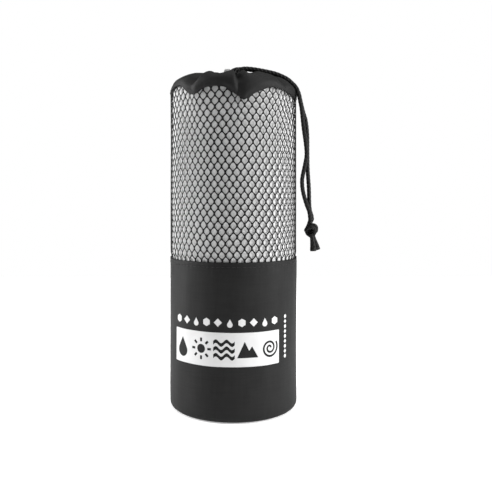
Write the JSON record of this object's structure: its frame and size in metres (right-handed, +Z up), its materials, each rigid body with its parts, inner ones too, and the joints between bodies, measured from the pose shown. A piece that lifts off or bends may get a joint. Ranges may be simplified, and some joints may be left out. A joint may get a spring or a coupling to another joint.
{
  "type": "quick dry towel in drawstring pouch",
  "caption": "Folded and rolled light grey microfibre towel inside a cylindrical black pouch of nylon and net, drawn up by a knotted cord.",
  "frame": {"origin": "middle of the pouch's flat base, on the surface it stands on", "axes": "+Z up along the roll, -Y out of the printed front, +X towards the side that the drawcord hangs on"},
  "size_m": [0.0945, 0.0805, 0.2105],
  "materials": {
    "nylon": "satin",
    "net": "matte",
    "binding_tape": "matte",
    "cord": "matte",
    "print": "matte",
    "microfibre": "matte"
  },
  "bodies": {
    "pouch": {"base_disc": "nylon", "base_binding": "binding_tape", "body_panel": "nylon", "side_binding_lower": "binding_tape", "waist_binding": "binding_tape", "mesh_panel": "net", "side_binding_upper": "binding_tape", "casing_binding": "binding_tape", "casing": "nylon", "print_block": "print", "drawcord_ring": "cord", "drawcord_top_front": "cord", "drawcord_top_rear": "cord"},
    "towel": {"towel_roll": "microfibre", "towel_hang_loop": "microfibre"},
    "drawcord": {"drawcord_fall_front": "cord", "drawcord_fall_rear": "cord"},
    "knot": {"drawcord_knot": "cord", "drawcord_tail_front": "cord", "drawcord_tail_rear": "cord"}
  },
  "joints": [
    {"name": "towel_slide", "type": "slide", "parent": "pouch", "child": "towel", "axis": [0, 0, 1], "range_m": [0, 0.215], "deforming": ["casing", "drawcord_ring", "drawcord_top_front", "drawcord_top_rear"]},
    {"name": "drawcord_swing", "type": "hinge", "parent": "pouch", "child": "drawcord", "pos_m": [0.0389, -0.0114, 0.198], "axis": [0, -1, 0], "range_deg": [0, 75]},
    {"name": "knot_sway", "type": "hinge", "parent": "drawcord", "child": "knot", "pos_m": [0.0483, -0.0101, 0.116], "axis": [1, 0, 0], "range_deg": [-50, 50]}
  ]
}
